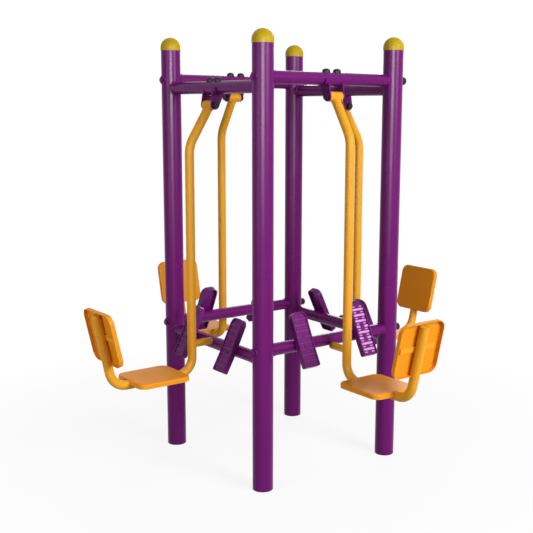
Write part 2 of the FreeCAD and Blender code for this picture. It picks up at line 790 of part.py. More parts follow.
def make_swing_arm(label, drop):
    """A bent tube, with the pivot sleeve, the stop's stub and the straps under the pans welded on."""
    path = arm_path(label + "_path", drop)
    sleeve_start = (0, -size.sleeve_length / 2, drop)
    stop_length = size.arm_reach - stop_end
    solids = [
        sweep_along(label + "_tube", path, arm_radius, drop),
        cylinder(label + "_sleeve", size.bearing_outer_diameter / 2 + size.sleeve_wall, size.sleeve_length,
                 sleeve_start, "y"),
        cylinder(label + "_stop", size.stop_diameter / 2, stop_length, (stop_end, 0, stop_rise), "x"),
    ]
    for end, sign in (("front", -1), ("rear", 1)):
        x = seat_middle + (size.seat_pan_depth / 2 - size.seat_strap_inset) * sign - size.strap_width / 2
        solids.append(box(f"{label}_strap_{end}", size.strap_width, size.strap_length, size.strap_thickness,
                          (x, -size.strap_length / 2, arm_radius - size.strap_thickness)))
    x, z = back_spot(backrest_middle - size.strap_width / 2, arm_radius)
    strap = box(label + "_strap_back", size.strap_thickness, size.strap_length, size.strap_width,
                (x, -size.strap_length / 2, z))
    solids.append(tilt(strap, Y_AXIS, size.back_recline))

    x, z = back_spot(back_tube_length - size.arm_wall, 0)
    plug = cylinder(label + "_end_plug", arm_radius, size.arm_diameter, (x, 0, z))
    tilt(plug, Y_AXIS, size.back_recline)
    inside = sweep_along(label + "_inside", path, arm_radius - size.arm_wall, drop)
    tools = [
        cut(label + "_hollow", inside, [plug]),
        cylinder(label + "_bearing_seat", size.bearing_outer_diameter / 2, size.sleeve_length,
                 sleeve_start, "y"),
        cylinder(label + "_stop_inside", size.stop_diameter / 2 - size.stop_wall,
                 stop_length - size.stop_wall, (stop_end + size.stop_wall, 0, stop_rise), "x"),
        cylinder(label + "_spigot_hole", size.bumper_spigot_diameter / 2 + size.seat_gap,
                 size.stop_wall, (stop_end, 0, stop_rise), "x"),
    ]
    return cut(label, fuse(label + "_weldment", solids), tools)


def make_bumper():
    """A polyurethane buffer with a spigot that plugs into the stub's closed end."""
    buffer = cylinder("bumper_buffer", size.bumper_diameter / 2, size.bumper_length,
                      (bumper_face, 0, stop_rise), "x")
    spigot = cylinder("bumper_spigot", size.bumper_spigot_diameter / 2, size.bumper_spigot_length,
                      (stop_end, 0, stop_rise), "x")
    return fuse("bumper", [buffer, spigot])


# Pans: pressed sheet with rounded corners and a rim turned back, notched where the rim meets the tube
def make_pan(label, length, width, notch_end):
    """Made face up about the middle of the face, over a tube that comes along X as far as notch_end."""
    body = doc.addObject("PartDesign::Body", label + "_pressing")
    face = new_sketch(body, label + "_face", "XY_Plane")
    draw_rectangle(face, length / 2, width / 2)
    extrude(body, "PartDesign::Pad", label + "_block", face, size.pan_rim, midplane=False)
    round_edges(body, label + "_corners", lambda edge: runs_along(edge, Z_AXIS), size.pan_corner)
    round_edges(body, label + "_edge", lambda edge: abs(edge.BoundBox.ZMin) < TINY, size.pan_edge)
    base = body.Tip
    under = TINY - size.pan_rim.value
    open_side = [f"Face{number}" for number, face in enumerate(base.Shape.Faces, start=1)
                 if face.BoundBox.ZMax < under]
    pressing = body.newObject("PartDesign::Thickness", label + "_sheet")
    pressing.Base = (base, open_side)
    pressing.Reversed = True
    bind(pressing, Value=size.pan_sheet)
    notch = cylinder(label + "_notch", arm_radius + size.seat_gap, length + notch_end,
                     (-length, 0, -arm_radius - size.pan_sheet), "x")
    return cut(label, body, [notch])


def make_seat_pan():
    pan = make_pan("seat_pan", size.seat_pan_depth, size.seat_pan_width, size.seat_pan_depth)
    return group("seat_pan_seated", [move(pan, (seat_middle, 0, arm_radius + size.pan_sheet))])


def make_backrest():
    pan = make_pan("backrest", size.backrest_height, size.backrest_width, measure(0))
    x, z = back_spot(backrest_middle, arm_radius + size.pan_sheet)
    tilt(pan, -Y_AXIS, 90 - size.back_recline)
    return group("backrest_seated", [move(pan, (x, 0, z))])


# Pedal: a cast tray, made with +X out of the face, Y across it and Z up it
def pedal_line(front):
    """Top, bend and heel of the line that lies the given way in front of the pedal's back."""
    turn = size.pedal_heel_bend
    bend_height = size.pedal_heel - pedal_half
    bend = (front, bend_height + front * tangent(turn / 2))
    heel = (front * cosine(turn) + size.pedal_heel * sine(turn),
            bend_height + front * sine(turn) - size.pedal_heel * cosine(turn))
    return (front, pedal_half), bend, heel


def pedal_band(near, far, inset):
    """The outline between two such lines, drawn in by the inset from the top and from the heel."""
    turn = size.pedal_heel_bend
    outline = []
    for line in (pedal_line(near), pedal_line(far)):
        top, bend, heel = line
        drawn = [(top[0], top[1] - inset), bend,
                 (heel[0] - inset * sine(turn), heel[1] + inset * cosine(turn))]
        outline.append(drawn)
    return outline[0] + outline[1][::-1]


def pedal_block(label, near, far, inset):
    """The block between two such lines, drawn in by the inset all round, with its four corners rounded."""
    body = doc.addObject("PartDesign::Body", label)
    outline = new_sketch(body, label + "_outline", "XZ_Plane")
    draw_outline(outline, pedal_band(near, far, inset))
    extrude(body, "PartDesign::Pad", label + "_pad", outline, size.pedal_width - inset * 2)
    depth = (far - near).value

    def side_corner(edge, upper):
        """Whether the edge is one of the two that run from back to front at this end of the sides."""
        room = edge.BoundBox
        at_side = room.YLength < TINY and room.XLength > depth / 2
        low = room.ZLength < depth
        at_end = room.ZMin > 0 if upper else room.ZMax < 0
        return at_side and low and at_end

    round_edges(body, label + "_top", lambda edge: side_corner(edge, True), size.pedal_top_corner - inset)
    round_edges(body, label + "_heel", lambda edge: side_corner(edge, False), size.pedal_heel_corner - inset)
    return body


def make_pedal():
    """The tray, hollowed on both sides of its plate, with a boss behind and ribs across the face."""
    inner_width = size.pedal_width - size.pedal_wall * 2
    plate_front = size.pedal_depth - size.pedal_recess
    plate_back = plate_front - size.pedal_plate
    shell = cut("pedal_shell", pedal_block("pedal_block", measure(0), size.pedal_depth, measure(0)), [
        pedal_block("pedal_tray", plate_front, size.pedal_depth * 2, size.pedal_wall),
        pedal_block("pedal_rear", -size.pedal_depth, plate_back, size.pedal_wall),
    ])
    solids = [shell, box("pedal_boss", plate_back, size.pedal_pad_width, size.pedal_pad_height,
                         (0, -size.pedal_pad_width / 2, -size.pedal_rise - size.pedal_pad_height / 2))]
    for number in range(PEDAL_RIB_COUNT):
        middle = pedal_half - size.pedal_wall - size.pedal_rib_pitch * (number + 1)
        below_bend = size.pedal_heel - pedal_half - middle
        height = size.pedal_rib_height
        if below_bend.value > 0:
            height = height + below_bend * tangent(size.pedal_heel_bend)
        solids.append(box(f"pedal_rib_{number + 1}", height, inner_width, size.pedal_rib_width,
                          (plate_front, -inner_width / 2, middle - size.pedal_rib_width / 2)))
    tools = []
    for name, up in (("upper", 1), ("under", -1)):
        height = size.pedal_bolt_spacing / 2 * up - size.pedal_rise
        tools.append(cylinder(f"pedal_hole_{name}", pedal_bolt_radius + size.bolt_play, size.pedal_depth,
                              (0, 0, height), "x"))
        tools.append(cylinder(f"pedal_spot_face_{name}", size.pedal_bolt_head_diameter / 2 + size.bolt_play,
                              size.pedal_recess, (plate_front, 0, height), "x"))
    casting = cut("pedal", fuse("pedal_with_ribs", solids), tools)
    tilt(casting, -Y_AXIS, size.pedal_tilt)
    return group("pedal_tilted", [move(casting, pedal_spot(pedal_back, size.pedal_rise, 0))])


def make_pedal_screws():
    """The two screws of one pedal, from its plate into the pad behind."""
    screws = []
    seat = size.pedal_depth - size.pedal_recess
    for name, up in (("upper", 1), ("under", -1)):
        shank = cylinder(f"pedal_screw_shank_{name}", pedal_bolt_radius, seat + size.pedal_pad_thickness,
                         (0, 0, -size.pedal_pad_thickness))
        head = cylinder(f"pedal_screw_head_{name}", size.pedal_bolt_head_diameter / 2,
                        size.pedal_bolt_head_height, (0, 0, seat))
        screw = fuse(f"pedal_screw_{name}", [shank, head])
        tilt(screw, Y_AXIS, 90 - size.pedal_tilt)
        screws.append(move(screw, pedal_spot(pedal_back, size.pedal_bolt_spacing / 2 * up, 0)))
    return group("pedal_screw_pair", screws)


# Assembly
post, cap = make_post(), make_cap()
for corner, (sign_x, sign_y) in CORNERS.items():
    x, y = half_spacing * sign_x, half_spacing * sign_y
    place(f"post_{corner}", post, (x, y, 0))
    place(f"post_cap_{corner}", cap, (x, y, size.post_length))

bolted_beams = make_top_beam("bolted_top_beam", True), make_lower_beam("bolted_lower_beam", True)
welded_beams = make_top_beam("welded_top_beam", False), make_lower_beam("welded_lower_beam", False)
hanger, pedal = make_hanger(), make_pedal()
pedal_spots = []
for station in STATIONS:
    x, y = turned(half_spacing, 0, station)
    top_beam, lower_beam = bolted_beams if station in RAISED else welded_beams
    place(f"top_beam_{station}", top_beam, (x, y, top_height(station)), facing(station))
    place(f"lower_beam_{station}", lower_beam, (x, y, lower_height(station)), facing(station))
    place(f"hanger_{station}", hanger, (x, y, top_height(station)), facing(station))
    for side, sign in (("a", 1), ("b", -1)):
        at = (*turned(half_spacing, pedal_side * sign, station), lower_height(station))
        place(f"foot_pedal_{station}_{side}", pedal, at, facing(station))
        pedal_spots.append((at, facing(station)))
make_beam_fasteners()
make_hanger_fasteners()
make_pivot_fasteners()
repeat("bearing_inner_rings", make_inner_rings(), pivot_spots())
repeat("pedal_screws", make_pedal_screws(), pedal_spots)

short_drop = size.top_beam_height - size.pivot_drop - size.seat_tube_height
short_arm = make_swing_arm("short_arm", short_drop)
long_arm = make_swing_arm("long_arm", short_drop + size.beam_stagger)
seat_pan, backrest, bumper, outer_rings = make_seat_pan(), make_backrest(), make_bumper(), make_outer_rings()
for station, (pivot, along_beam) in zip(STATIONS, pivot_spots()):
    seat = (*turned(pivot_out, 0, station), size.seat_tube_height)
    place(f"swing_arm_{station}", long_arm if station in RAISED else short_arm, seat, facing(station))
    place(f"seat_pan_{station}", seat_pan, seat, facing(station))
    place(f"backrest_{station}", backrest, seat, facing(station))
    place(f"stop_bumper_{station}", bumper, seat, facing(station))
    place(f"bearings_{station}", outer_rings, pivot, along_beam)
doc.recompute()

# Every object has to have worked, and every piece has to be whole, before anything is written
for item in doc.Objects:
    if "Invalid" in item.State or "Error" in item.State:
        raise RuntimeError(f"{item.Name} failed: {item.State}")
for item in NODES:
    if item.Shape.isNull() or not item.Shape.isValid() or not item.Shape.Solids:
        raise RuntimeError(f"{item.Label} has no valid shape")
os.makedirs("parts", exist_ok=True)
for item in NODES:
    item.Shape.exportStep(f"parts/{item.Label}.step")
    print(f"{item.Label}: {len(item.Shape.Solids)} solids, {item.Shape.Volume:.0f} mm3")
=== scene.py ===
import math

import bmesh
import bpy
import numpy as np
from mathutils import Matrix


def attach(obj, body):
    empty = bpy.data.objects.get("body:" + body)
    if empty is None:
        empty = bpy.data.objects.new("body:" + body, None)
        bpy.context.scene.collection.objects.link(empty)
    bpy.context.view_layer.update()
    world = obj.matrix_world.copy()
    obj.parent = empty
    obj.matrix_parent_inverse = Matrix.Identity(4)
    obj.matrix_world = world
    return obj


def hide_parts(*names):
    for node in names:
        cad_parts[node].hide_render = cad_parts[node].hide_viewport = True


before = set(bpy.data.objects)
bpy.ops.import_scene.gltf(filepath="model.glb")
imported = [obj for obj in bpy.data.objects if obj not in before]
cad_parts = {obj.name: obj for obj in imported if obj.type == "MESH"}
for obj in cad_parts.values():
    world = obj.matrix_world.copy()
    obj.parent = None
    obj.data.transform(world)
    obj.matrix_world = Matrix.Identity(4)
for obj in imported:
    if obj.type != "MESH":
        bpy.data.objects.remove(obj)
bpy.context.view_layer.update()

# Posts
# Four round steel tubes, set in the ground, with a plain cut at the foot.
# Welded tube, blasted, and coated with gloss purple powder that is baked on.


def linear(hex_colour):
    """An sRGB hex colour as linear red, green, blue and alpha."""
    values = np.array([int(hex_colour[start:start + 2], 16) for start in (1, 3, 5)]) / 255
    curve = np.where(values <= 0.04045, values / 12.92, ((values + 0.055) / 1.055) ** 2.4)
    return (*curve.tolist(), 1.0)


def add(owner, kind, inputs, **settings):
    """Adds one shader node. An input is a value or the socket to link from, and a setting is the node's
    own choice."""
    tree = owner.node_tree
    made = tree.nodes.new("ShaderNode" + kind)
    for name, value in settings.items():
        setattr(made, name, value)
    for name, value in inputs.items():
        if isinstance(value, bpy.types.NodeSocket):
            tree.links.new(value, made.inputs[name])
        else:
            made.inputs[name].default_value = value
    return made


def new_material(name):
    """A material whose node tree is still empty."""
    material = bpy.data.materials.new(name)
    material.use_nodes = True
    material.node_tree.nodes.clear()
    return material


# The sockets of a Mix node for colours: its share, its two colours, and what comes out
SHARE, FIRST, SECOND, MIXED = 0, 6, 7, 2
FILM_DRIFT = 0.3
PEEL_SPACING = 0.005
PEEL_DEPTH = 0.0003
GLOSSIER, DULLER = 0.04, 0.05


def powder_coat(name, full, thin, roughness):
    """Baked powder: two near shades drift into each other where the film is thicker or thinner, the gloss
    drifts with the film, and orange peel dimples the skin. Real peel is 2 mm apart; it is drawn at 5 mm,
    the least that shows."""
    coat = new_material(name)
    spot = add(coat, "TexCoord", {}).outputs["Object"]
    film = add(coat, "TexNoise", {"Vector": spot, "Scale": 1 / FILM_DRIFT, "Detail": 3.0}).outputs["Fac"]
    peel = add(coat, "TexNoise", {"Vector": spot, "Scale": 1 / PEEL_SPACING, "Detail": 1.0}).outputs["Fac"]
    colour = add(coat, "Mix", {SHARE: film, FIRST: linear(full), SECOND: linear(thin)},
                 data_type="RGBA").outputs[MIXED]
    gloss = add(coat, "MapRange", {"Value": film, "From Min": 0.3, "From Max": 0.7,
                                   "To Min": roughness - GLOSSIER,
                                   "To Max": roughness + DULLER}).outputs["Result"]
    skin = add(coat, "Bump", {"Height": peel, "Strength": 0.15, "Distance": PEEL_DEPTH}).outputs["Normal"]
    shader = add(coat, "BsdfPrincipled", {"Base Color": colour, "Roughness": gloss, "Normal": skin,
                                          "IOR": 1.4, "Specular IOR Level": 0.2})
    add(coat, "OutputMaterial", {"Surface": shader.outputs["BSDF"]})
    return coat


def dress(names, material):
    """Gives CAD pieces their finish."""
    for name in names:
        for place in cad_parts[name].material_slots:
            place.material = material


POST_STEPS = 96


def turned_profile(profile, middle):
    """A profile of (radius, height) pairs turned about an upright line: a point is
    (x + r cos v, y + r sin v, z) as v goes once round."""
    radius, height = np.array(profile)[:, :, None].transpose(1, 0, 2)
    turn = np.linspace(0, 2 * np.pi, POST_STEPS, endpoint=False)
    x, y = middle[0] + radius * np.cos(turn), middle[1] + radius * np.sin(turn)
    return np.stack(np.broadcast_arrays(x, y, height), axis=-1)


MERGE_GAP = 1e-6


def put_surface(name, grids, closed, material, body):
    """One piece from grids of points: rows run along a path, columns run round the profile and always
    close, and rows close where the path does."""
    corners, quads, start = [], [], 0
    for grid in grids:
        rows, columns, _ = grid.shape
        index = start + np.arange(rows * columns).reshape(rows, columns)
        right = np.roll(index, -1, axis=1)
        below, below_right = np.roll(index, -1, axis=0), np.roll(right, -1, axis=0)
        quad = np.stack([index, right, below_right, below], axis=-1)
        quads.append((quad if closed else quad[:-1]).reshape(-1, 4))
        corners.append(grid.reshape(-1, 3))
        start += rows * columns
    mesh = bpy.data.meshes.new(name)
    mesh.from_pydata(np.concatenate(corners).tolist(), [], np.concatenate(quads).tolist())
    work = bmesh.new()
    work.from_mesh(mesh)
    bmesh.ops.remove_doubles(work, verts=work.verts, dist=MERGE_GAP)
    bmesh.ops.recalc_face_normals(work, faces=work.faces)
    work.to_mesh(mesh)
    work.free()
    mesh.polygons.foreach_set("use_smooth", np.ones(len(mesh.polygons), dtype=bool))
    mesh.materials.append(material)
    piece = bpy.data.objects.new(name, mesh)
    bpy.context.scene.collection.objects.link(piece)
    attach(piece, body)
    return piece


CORNERS = {"front": (-1, -1), "right": (1, -1), "back": (1, 1), "left": (-1, 1)}
HALF_SPACING = 0.460
POST_RADIUS = 0.057
POST_BORE = 0.054
POST_LENGTH = 2.425
CUT_EDGE = 0.0008
RIM = 0.010
purple_coat = powder_coat("gloss purple powder coat on steel", "#6E0E6A", "#610A60", 0.28)
post_profile = [(POST_RADIUS, CUT_EDGE), (POST_RADIUS, RIM), (POST_RADIUS, POST_LENGTH - RIM),
                (POST_RADIUS, POST_LENGTH), (POST_BORE, POST_LENGTH), (POST_BORE, POST_LENGTH - RIM),
                (POST_BORE, RIM), (POST_BORE, 0), (POST_RADIUS - CUT_EDGE, 0)]
for corner, (sign_x, sign_y) in CORNERS.items():
    post_tube = turned_profile(post_profile, (sign_x * HALF_SPACING, sign_y * HALF_SPACING))
    post_piece = put_surface(f"post_tube_{corner}", [post_tube], True, purple_coat, "frame")
    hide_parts(f"post_{corner}")

# Post caps
# Hollow domes moulded in yellow polyethylene that push over the ends of the tubes.
# The moulded skin is smooth and a little waxy, with a faint drift of colour from the flow.
CAP_FLOW = 0.04
CAP_WAVE = 0.001
cap_plastic = new_material("moulded yellow polyethylene")
cap_spot = add(cap_plastic, "TexCoord", {}).outputs["Object"]
cap_flow = add(cap_plastic, "TexNoise", {"Vector": cap_spot, "Scale": 1 / CAP_FLOW,
                                         "Detail": 2.0}).outputs["Fac"]
cap_colour = add(cap_plastic, "Mix", {SHARE: cap_flow, FIRST: linear("#C2A406"), SECOND: linear("#AE8E08")},
                 data_type="RGBA").outputs[MIXED]
cap_skin = add(cap_plastic, "Bump", {"Height": cap_flow, "Strength": 0.1,
                                     "Distance": CAP_WAVE}).outputs["Normal"]
cap_shader = add(cap_plastic, "BsdfPrincipled", {"Base Color": cap_colour, "Roughness": 0.42, "IOR": 1.5,
                                                 "Specular IOR Level": 0.15, "Normal": cap_skin})
add(cap_plastic, "OutputMaterial", {"Surface": cap_shader.outputs["BSDF"]})
dress([f"post_cap_{corner}" for corner in CORNERS], cap_plastic)

# Beams
# Eight steel tubes with a collar on each end, hollowed to the post's round, in the posts' purple coat.
# Two sides are welded to the posts and two are bolted. Each weld runs in even ripples and is coated
# with the rest.
STATIONS = ("back_right", "back_left", "front_left", "front_right")
RAISED = ("back_left", "front_right")
BEAM_RADIUS = 0.035
BEAM_HEIGHTS = (2.190, 0.736)
BEAM_STAGGER = 0.048
COLLAR_RADIUS = 0.038
COLLAR_BACK = 0.0671


def at_station(station, out, side, up):
    """Points given outward, along the beam and up, turned about the upright by the station's quarter
    turns."""
    turns = STATIONS.index(station)
    along_x, along_y = ((1, 0), (0, 1), (-1, 0), (0, -1))[turns]
    out, side, up = np.broadcast_arrays(out, side, up)
    return np.stack([out * along_x - side * along_y, out * along_y + side * along_x, up], axis=-1)


def lift(station):
    """How far the station's beams stand above those of the lower two."""
    return BEAM_STAGGER if station in RAISED else 0.0


RIPPLE_PITCH = 0.0035
RIPPLE_SWELL = 0.1
BEAD_STEPS = 10
FINE_BEAD = 0.003
POST_BEAD = 0.004


def weld_bead(path, outward, radius):
    """A closed bead: a circle carried along the closed path, swelling by a tenth at every ripple. A point
    is path + r (cos v * outward + sin v * across), with across square to the path and to outward."""
    forward = np.roll(path, -1, axis=0) - np.roll(path, 1, axis=0)
    forward = forward / np.linalg.norm(forward, axis=1, keepdims=True)
    outward = outward - forward * np.sum(outward * forward, axis=1, keepdims=True)
    outward = outward / np.linalg.norm(outward, axis=1, keepdims=True)
    across = np.cross(forward, outward)
    length = np.linalg.norm(np.roll(path, -1, axis=0) - path, axis=1)
    ripples = np.round(length.sum() / RIPPLE_PITCH)
    phase = 2 * np.pi * ripples * (np.cumsum(length) - length) / length.sum()
    swell = radius * (1 + RIPPLE_SWELL * np.cos(phase))
    turn = np.linspace(0, 2 * np.pi, BEAD_STEPS, endpoint=False)
    ring = outward[:, None] * np.cos(turn)[None, :, None] + across[:, None] * np.sin(turn)[None, :, None]
    return path[:, None] + swell[:, None, None] * ring


dress([f"{level}_beam_{station}" for level in ("top", "lower") for station in STATIONS], purple_coat)
WELD_STEPS = 126
round_turn = np.linspace(0, 2 * np.pi, WELD_STEPS, endpoint=False)


def collar_bead(station, height, sign):
    """Round the tube, in the corner that it makes with the back of its collar: a turn v puts the point out
    by b cos v and up by b sin v."""
    out, rise = BEAM_RADIUS * np.cos(round_turn), BEAM_RADIUS * np.sin(round_turn)
    path = at_station(station, HALF_SPACING + out, sign * (HALF_SPACING - COLLAR_BACK), height + rise)
    return weld_bead(path, at_station(station, np.cos(round_turn), -sign, np.sin(round_turn)), FINE_BEAD)


def post_bead(station, height, sign):
    """Round the collar where it meets the post: a turn v puts the point out by c cos v and up by c sin v,
    and short of the post's line by the root of R squared less (c cos v) squared."""
    out, rise = COLLAR_RADIUS * np.cos(round_turn), COLLAR_RADIUS * np.sin(round_turn)
    short = np.sqrt(POST_RADIUS ** 2 - out ** 2)
    path = at_station(station, HALF_SPACING + out, sign * (HALF_SPACING - short), height + rise)
    return weld_bead(path, at_station(station, np.cos(round_turn), -sign, np.sin(round_turn)), POST_BEAD)


beam_beads = []
for station in STATIONS:
    for level in BEAM_HEIGHTS:
        for sign in (1, -1):
            beam_beads.append(collar_bead(station, level + lift(station), sign))
            if station not in RAISED:
                beam_beads.append(post_bead(station, level, sign))
put_surface("beam_welds", beam_beads, True, purple_coat, "frame")

# Beam bolts, saddle washers and dome nuts
# A bolt at each end of the raised beams goes through the post and a washer hollowed to its round, both
# coated purple with the frame. Dark dome nuts show on two posts, and the bolts' heads on the other two.
NUT_GRAIN = 0.008
nut_black = new_material("black oxide steel nut under paint")
nut_spot = add(nut_black, "TexCoord", {}).outputs["Object"]
nut_grain = add(nut_black, "TexNoise", {"Vector": nut_spot, "Scale": 1 / NUT_GRAIN,
                                        "Detail": 3.0}).outputs["Fac"]
nut_colour = add(nut_black, "Mix", {SHARE: nut_grain, FIRST: linear("#241327"), SECOND: linear("#170D1A")},
                 data_type="RGBA").outputs[MIXED]
nut_gloss = add(nut_black, "MapRange", {"Value": nut_grain, "To Min": 0.4,
                                        "To Max": 0.55}).outputs["Result"]
nut_shader = add(nut_black, "BsdfPrincipled", {"Base Color": nut_colour, "Roughness": nut_gloss,
                                               "IOR": 1.5, "Specular IOR Level": 0.2})
add(nut_black, "OutputMaterial", {"Surface": nut_shader.outputs["BSDF"]})
dress(["beam_bolts", "beam_saddle_washers"], purple_coat)
dress(["beam_dome_nuts"], nut_black)

# Hangers
# A cradle of bent plate hugs the underside of each top beam, with two cheeks welded on for the pivot
# bolt. Two zinc plated studs stand in it and go up through the beam, to dark dome nuts on top.
CRADLE_RADIUS = 0.0431
CHEEK_FACES = (0.043, 0.053)
CHEEK_SHOULDER = math.radians(20)
CHEEK_STEPS, EDGE_STEPS = 81, 8
ZINC_SPANGLE = 0.006
zinc_plate = new_material("zinc plated steel")
zinc_spot = add(zinc_plate, "TexCoord", {}).outputs["Object"]
spangle = add(zinc_plate, "TexNoise", {"Vector": zinc_spot, "Scale": 1 / ZINC_SPANGLE,
                                       "Detail": 2.0}).outputs["Fac"]
zinc_colour = add(zinc_plate, "Mix", {SHARE: spangle, FIRST: linear("#A9ABAE"), SECOND: linear("#8F9196")},
                  data_type="RGBA").outputs[MIXED]
zinc_gloss = add(zinc_plate, "MapRange", {"Value": spangle, "To Min": 0.28,
                                          "To Max": 0.42}).outputs["Result"]
zinc_shader = add(zinc_plate, "BsdfPrincipled", {"Base Color": zinc_colour, "Roughness": zinc_gloss,
                                                 "Metallic": 1.0})
add(zinc_plate, "OutputMaterial", {"Surface": zinc_shader.outputs["BSDF"]})
dress([f"hanger_{station}" for station in STATIONS], purple_coat)
dress(["hanger_studs"], zinc_plate)
dress(["hanger_dome_nuts"], nut_black)


def cheek_bead(station, sign):
    """Round a cheek where it leaves the cradle: a turn v puts the point out by c cos v and up by c sin v,
    along one face of the cheek from shoulder to shoulder, across its edge and back along the other face."""
    inner, outer = CHEEK_FACES
    sweep = np.linspace(np.pi + CHEEK_SHOULDER, 2 * np.pi - CHEEK_SHOULDER, CHEEK_STEPS)
    across = np.linspace(inner, outer, EDGE_STEPS)[1:-1]
    turn = np.concatenate([sweep, np.full(across.size, sweep[-1]),
                           sweep[::-1], np.full(across.size, sweep[0])])
    side = np.concatenate([np.full(sweep.size, inner), across, np.full(sweep.size, outer), across[::-1]])
    path = at_station(station, HALF_SPACING + CRADLE_RADIUS * np.cos(turn), sign * side,
                      BEAM_HEIGHTS[0] + lift(station) + CRADLE_RADIUS * np.sin(turn))
    return weld_bead(path, at_station(station, np.cos(turn), 0.0, np.sin(turn)), FINE_BEAD)


cheek_beads = [cheek_bead(station, sign) for station in STATIONS for sign in (1, -1)]
put_surface("hanger_welds", cheek_beads, True, purple_coat, "frame")

# Pivots
# A blackened bolt and nut hold two ball bearings with a zinc plated spacer tube between them.
# The bearing rings are hardened chrome steel, ground bright.
GRIND_MARKS = 0.003
ground_steel = new_material("ground bearing steel")
ground_spot = add(ground_steel, "TexCoord", {}).outputs["Object"]
grind = add(ground_steel, "TexNoise", {"Vector": ground_spot, "Scale": 1 / GRIND_MARKS,
                                       "Detail": 2.0}).outputs["Fac"]
ground_gloss = add(ground_steel, "MapRange", {"Value": grind, "To Min": 0.14,
                                              "To Max": 0.24}).outputs["Result"]
ground_shader = add(ground_steel, "BsdfPrincipled", {"Base Color": linear("#C6C7CA"),
                                                     "Roughness": ground_gloss, "Metallic": 1.0})
add(ground_steel, "OutputMaterial", {"Surface": ground_shader.outputs["BSDF"]})
dress(["pivot_bolts", "pivot_nuts"], nut_black)
dress(["pivot_spacers"], zinc_plate)
dress(["bearing_inner_rings"] + [f"bearings_{station}" for station in STATIONS], ground_steel)

# Swing arms
# One steel tube bent at the top, under the seat and up the back, in gloss orange-yellow powder coat.
# The pivot sleeve and the stub of the stop are welded on, each with a bead round the line where the
# tubes meet.
PIVOT_OUT = 0.487
PIVOT_HEIGHT = 2.095
SLEEVE_RADIUS = 0.027
ARM_RADIUS = 0.0255
ARM_SLANT = math.radians(31.7)
ARM_REACH = 0.137
STOP_RADIUS = 0.021
STOP_HEIGHT = 0.756
yellow_coat = powder_coat("gloss orange-yellow powder coat on steel", "#E9A62A", "#DD9A20", 0.4)
dress([f"swing_arm_{station}" for station in STATIONS], yellow_coat)


def sleeve_bead(station):
    """Where the slanted tube meets the sleeve: a turn v round the tube puts the point across the tube by
    a cos v and along the sleeve by a sin v, and down the tube by the root of R squared less (a cos v)
    squared."""
    down = np.array([math.sin(ARM_SLANT), -math.cos(ARM_SLANT)])
    across = np.array([math.cos(ARM_SLANT), math.sin(ARM_SLANT)])
    wide, along = ARM_RADIUS * np.cos(round_turn), ARM_RADIUS * np.sin(round_turn)
    run = np.sqrt(SLEEVE_RADIUS ** 2 - wide ** 2)
    out = PIVOT_OUT + run * down[0] + wide * across[0]
    up = PIVOT_HEIGHT + lift(station) + run * down[1] + wide * across[1]
    lean_out = down[0] + np.cos(round_turn) * across[0]
    lean_up = down[1] + np.cos(round_turn) * across[1]
    return weld_bead(at_station(station, out, along, up),
                     at_station(station, lean_out, np.sin(round_turn), lean_up), FINE_BEAD)


def stop_bead(station):
    """Where the stub meets the upright tube: a turn v round the stub puts the point along the beam by
    s sin v and up by s cos v, and out by the tube's line less the root of a squared less (s sin v)
    squared."""
    side, rise = STOP_RADIUS * np.sin(round_turn), STOP_RADIUS * np.cos(round_turn)
    out = PIVOT_OUT + ARM_REACH - np.sqrt(ARM_RADIUS ** 2 - side ** 2)
    return weld_bead(at_station(station, out, side, STOP_HEIGHT + rise),
                     at_station(station, -1.0, np.sin(round_turn), np.cos(round_turn)), FINE_BEAD)


for station in STATIONS:
    put_surface(f"arm_welds_{station}", [sleeve_bead(station), stop_bead(station)], True, yellow_coat,
                f"seat_{station}")

# Seat pans and backrests
# Pressed sheet steel with rounded corners and a rim turned back, welded to straps on the arm.
# The same orange-yellow coat, a little duller, because people sit and lean on it.
pan_coat = powder_coat("orange-yellow powder coat rubbed by sitters", "#EC981A", "#DE8C12", 0.42)
dress([f"{kind}_{station}" for kind in ("seat_pan", "backrest") for station in STATIONS], pan_coat)

# Stop bumpers
# Round polyurethane buffers that plug into the stubs and rest against the lower beams.
# Cast amber polyurethane: satin, with a faint cloud of a darker shade in it.
AMBER_CLOUD = 0.012
bumper_amber = new_material("cast amber polyurethane")
amber_spot = add(bumper_amber, "TexCoord", {}).outputs["Object"]
cloud = add(bumper_amber, "TexNoise", {"Vector": amber_spot, "Scale": 1 / AMBER_CLOUD,
                                       "Detail": 4.0}).outputs["Fac"]
amber_colour = add(bumper_amber, "Mix", {SHARE: cloud, FIRST: linear("#B4781C"), SECOND: linear("#8A5612")},
                   data_type="RGBA").outputs[MIXED]
amber_gloss = add(bumper_amber, "MapRange", {"Value": cloud, "To Min": 0.4,
                                             "To Max": 0.55}).outputs["Result"]
amber_shader = add(bumper_amber, "BsdfPrincipled", {"Base Color": amber_colour, "Roughness": amber_gloss,
                                                    "IOR": 1.5})
add(bumper_amber, "OutputMaterial", {"Surface": amber_shader.outputs["BSDF"]})
dress([f"stop_bumper_{station}" for station in STATIONS], bumper_amber)

